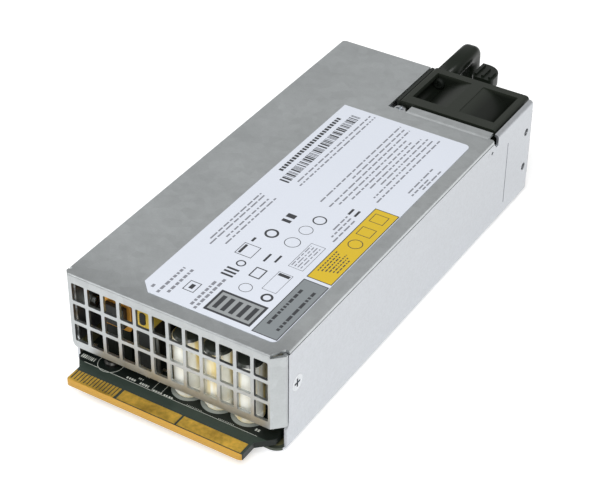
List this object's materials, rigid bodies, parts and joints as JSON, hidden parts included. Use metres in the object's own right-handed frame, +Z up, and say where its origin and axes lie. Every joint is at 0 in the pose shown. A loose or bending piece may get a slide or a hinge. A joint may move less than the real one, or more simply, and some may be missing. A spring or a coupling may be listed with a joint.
{
  "type": "hot swap server power supply",
  "caption": "Slim sheet-steel server power supply with a vented mating end, a gold card edge, and a fan, mains inlet, pull handle and release lever at the other end.",
  "frame": {"origin": "middle of the case's bottom face", "axes": "+X across the width towards the fan's side, +Y from the card edge towards the handle, +Z up to the label"},
  "size_m": [0.083, 0.2145, 0.0419],
  "materials": {
    "galvanised_steel": "mottled zinc, satin",
    "tray_steel": "zinc plated, smooth satin",
    "plated_steel": "zinc plated, bright",
    "insulator_film": "thin film, satin",
    "circuit_board": "dark solder mask",
    "gold_plating": "gold plated",
    "capacitor_sleeve": "shrink sleeve",
    "grey_moulding": "moulded",
    "black_sleeve": "shrink sleeve",
    "ferrite": "sintered, dull",
    "black_moulding": "moulded, satin",
    "copper": "enamelled copper",
    "yellow_tape": "polyester tape",
    "bare_aluminium": "extruded",
    "yellow_moulding": "moulded box",
    "white_sleeve": "shrink sleeve",
    "plated_brass": "nickel plated",
    "clear_lens": "moulded lens",
    "ground_steel": "ground",
    "magnet": "bonded magnet",
    "lamination": "stacked sheet",
    "black_steel": "black, satin",
    "black_screw": "black oxide",
    "black_gloss": "moulded, semi-gloss",
    "label_film": "printed film, satin"
  },
  "bodies": {
    "power_supply": {"top_cover": "galvanised_steel", "base_tray": "tray_steel", "side_screws": "plated_steel", "side_nuts": "plated_steel", "side_rivets": "plated_steel", "insulator_sheet": "insulator_film", "board_standoffs": "plated_steel", "main_board": "circuit_board", "signal_contacts": "gold_plating", "power_contacts": "gold_plating", "board_screws": "plated_steel", "output_capacitors": "capacitor_sleeve", "capacitor_seats": "grey_moulding", "bulk_capacitor": "black_sleeve", "choke_core": "ferrite", "choke_base": "black_moulding", "choke_winding": "copper", "drive_core": "ferrite", "drive_winding": "yellow_tape", "sense_post": "plated_steel", "transformer_core": "ferrite", "transformer_winding": "yellow_tape", "heat_sinks": "bare_aluminium", "power_transistors": "black_moulding", "filter_choke_core": "ferrite", "filter_choke_winding": "copper", "filter_capacitors": "yellow_moulding", "mains_fuse": "white_sleeve", "control_board": "circuit_board", "control_chips": "black_moulding", "rectifier_bridge": "black_moulding", "rear_panel": "tray_steel", "cutout_screw": "plated_steel", "inlet_housing": "black_moulding", "inlet_pins": "plated_brass", "status_light": "clear_lens", "fan_frame": "black_moulding", "fan_bearings": "ground_steel", "fan_stator": "lamination", "fan_guard": "black_steel", "fan_screws": "black_screw", "pull_handle": "black_gloss", "handle_screws": "black_screw", "lever_pin": "plated_steel", "lever_spring": "ground_steel", "rating_label": "label_film"},
    "fan_wheel": {"fan_rotor": "black_moulding", "fan_shaft": "ground_steel", "fan_magnet": "magnet"},
    "lever": {"release_lever": "black_gloss"}
  },
  "joints": [
    {"name": "fan_spin", "type": "hinge", "parent": "power_supply", "child": "fan_wheel", "pos_m": [0.0189, 0.07625, 0.02], "axis": [0, 1, 0], "continuous": true},
    {"name": "lever_pivot", "type": "hinge", "parent": "power_supply", "child": "lever", "pos_m": [0.011, 0.09455, 0.0052], "axis": [0, -1, 0], "range_deg": [0, 4.2], "stiffness_Nm_per_rad": 0.15, "springref_deg": -20.05}
  ]
}
